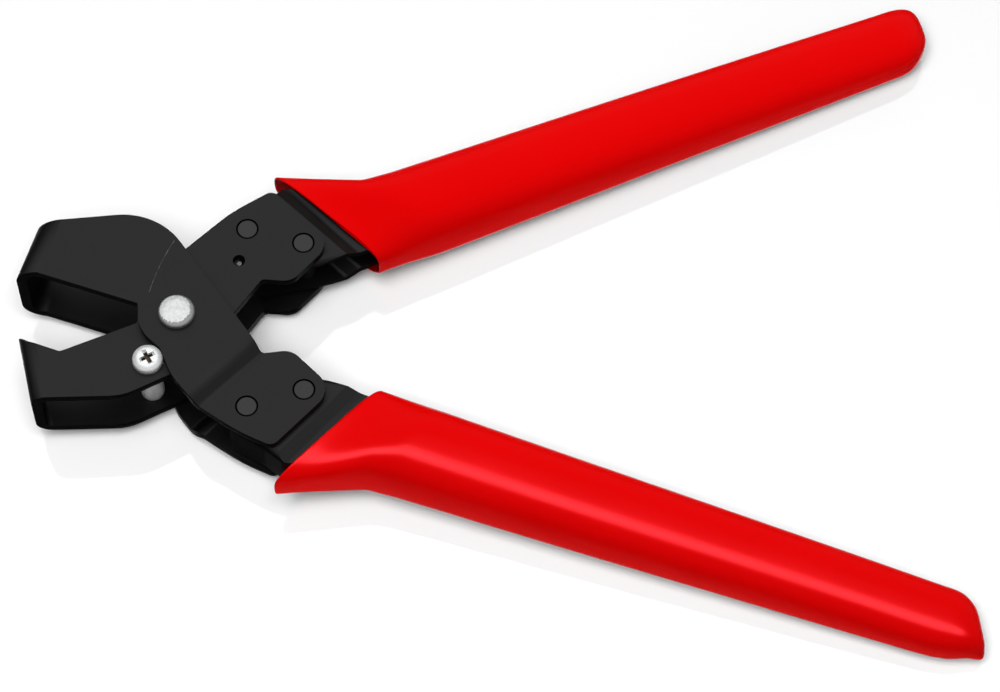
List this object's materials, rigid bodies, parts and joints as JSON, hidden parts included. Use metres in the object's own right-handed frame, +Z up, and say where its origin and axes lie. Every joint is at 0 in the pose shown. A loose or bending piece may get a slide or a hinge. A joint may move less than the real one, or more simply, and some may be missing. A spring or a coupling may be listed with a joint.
{
  "type": "notching pliers",
  "caption": "Hand notching pliers with a U-shaped punch and die bent from steel strap, a riveted pivot with an opening spring, and dipped grips.",
  "frame": {"origin": "on the pivot axis, at the flat face of the pivot's lower rivet head, which the tool rests on", "axes": "+Z up along the pivot axis, +X along the bisector of the open handles towards their ends, +Y towards the punch lever's handle"},
  "size_m": [0.2407, 0.1832, 0.029],
  "materials": {
    "black_lacquered_steel": "satin black lacquer",
    "red_dipped_grip": "glossy dipped plastic",
    "blackened_rivet_steel": "satin, slightly lighter than the plates",
    "zinc_plated_steel": "bright zinc, slightly mottled",
    "spring_wire": "bright spring wire"
  },
  "bodies": {
    "die_lever": {"die_strap": "black_lacquered_steel", "die_handle_core": "black_lacquered_steel", "die_grip": "red_dipped_grip", "die_rivet_front": "blackened_rivet_steel", "die_rivet_rear": "blackened_rivet_steel", "pivot_pin": "zinc_plated_steel"},
    "punch_lever": {"punch_strap": "black_lacquered_steel", "punch_handle_core": "black_lacquered_steel", "punch_grip": "red_dipped_grip", "punch_rivet_front": "blackened_rivet_steel", "punch_rivet_rear": "blackened_rivet_steel", "stop_screw": "zinc_plated_steel", "stop_sleeve": "zinc_plated_steel", "stop_nut": "zinc_plated_steel", "pivot_sleeve": "zinc_plated_steel", "opening_spring": "spring_wire"}
  },
  "joints": [
    {"name": "jaw_pivot", "type": "hinge", "parent": "die_lever", "child": "punch_lever", "pos_m": [0, 0, 0.0144], "axis": [0, 0, -1], "range_deg": [0, 36.5], "stiffness_Nm_per_rad": 0.3, "springref_deg": -28.65, "deforming": ["opening_spring"]}
  ]
}
